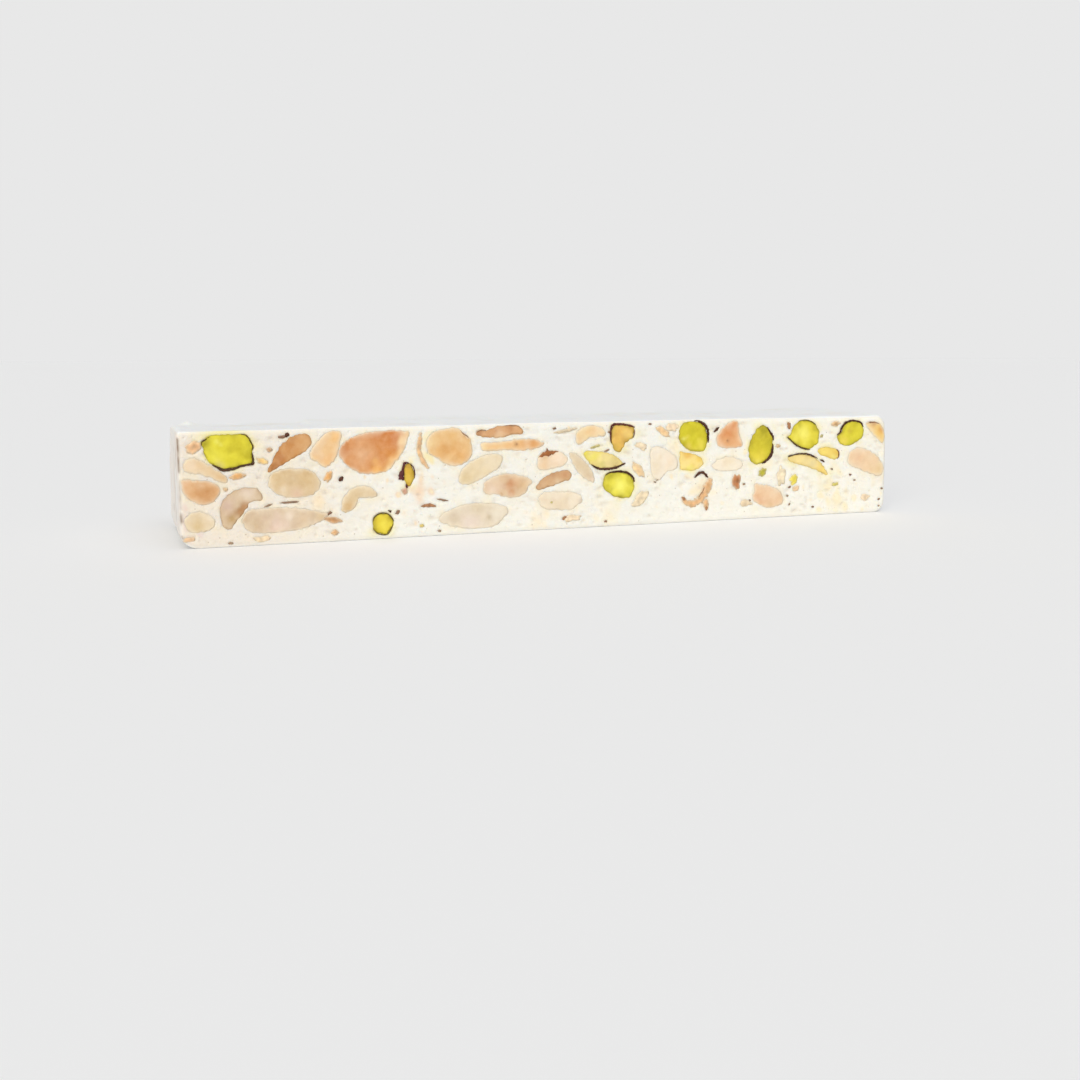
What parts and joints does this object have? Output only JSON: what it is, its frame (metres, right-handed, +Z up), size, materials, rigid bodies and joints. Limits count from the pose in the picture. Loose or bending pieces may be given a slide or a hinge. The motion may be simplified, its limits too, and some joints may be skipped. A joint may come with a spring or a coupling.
{
  "type": "nougat bar",
  "caption": "Long rectangular bar of white nougat with whole almonds and pistachios, its two long sides sliced so that the nuts show in section.",
  "frame": {"origin": "centre of the base, on the surface that the bar rests on", "axes": "+X along the bar's length, -Y out of the sliced long side that carries the main view, +Z up through the bar's height"},
  "size_m": [0.21, 0.044, 0.03],
  "materials": {
    "nougat": "whipped sugar and egg white, set, matt with a soft sheen",
    "almond_white": "blanched almond, cut flush, the palest",
    "almond_pale": "blanched almond, cut flush",
    "almond_tan": "lightly toasted almond, cut flush",
    "almond_roast": "roasted almond, cut flush",
    "pistachio_green": "green pistachio kernel, cut flush",
    "pistachio_lemon": "pale yellow pistachio kernel, cut flush",
    "pistachio_ochre": "ochre pistachio kernel, cut flush"
  },
  "bodies": {
    "root": {"nougat": "nougat", "front_almond_01": "almond_tan", "front_almond_02": "almond_pale", "front_almond_03": "almond_pale", "front_pistachio_01": "pistachio_green", "front_almond_04": "almond_pale", "front_almond_05": "almond_pale", "front_almond_06": "almond_roast", "front_almond_07": "almond_pale", "front_almond_08": "almond_tan", "front_almond_09": "almond_pale", "front_almond_10": "almond_roast", "front_pistachio_02": "pistachio_green", "front_pistachio_03": "pistachio_ochre", "front_almond_11": "almond_tan", "front_almond_12": "almond_white", "front_almond_13": "almond_white", "front_almond_14": "almond_tan", "front_almond_15": "almond_pale", "front_almond_16": "almond_tan", "front_almond_17": "almond_tan", "front_almond_18": "almond_white", "front_almond_19": "almond_white", "front_almond_20": "almond_white", "front_almond_21": "almond_tan", "front_pistachio_04": "pistachio_lemon", "front_pistachio_05": "pistachio_lemon", "front_pistachio_06": "pistachio_ochre", "front_almond_22": "almond_white", "front_pistachio_07": "pistachio_lemon", "front_pistachio_08": "pistachio_green", "front_almond_23": "almond_white", "front_almond_24": "almond_tan", "front_pistachio_09": "pistachio_green", "front_almond_25": "almond_tan", "front_pistachio_10": "pistachio_lemon", "front_pistachio_11": "pistachio_lemon", "front_pistachio_12": "pistachio_lemon", "front_pistachio_13": "pistachio_green", "front_almond_26": "almond_pale", "front_almond_27": "almond_tan", "back_almond_01": "almond_roast", "back_pistachio_01": "pistachio_green", "back_almond_02": "almond_pale", "back_almond_03": "almond_pale", "back_almond_04": "almond_tan", "back_pistachio_02": "pistachio_green", "back_almond_05": "almond_tan", "back_almond_06": "almond_roast", "back_almond_07": "almond_pale", "back_almond_08": "almond_pale", "back_almond_09": "almond_pale", "back_almond_10": "almond_pale", "back_pistachio_03": "pistachio_green", "back_almond_11": "almond_roast", "back_almond_12": "almond_pale", "back_almond_13": "almond_tan", "back_pistachio_04": "pistachio_lemon", "back_almond_14": "almond_white"}
  },
  "joints": []
}
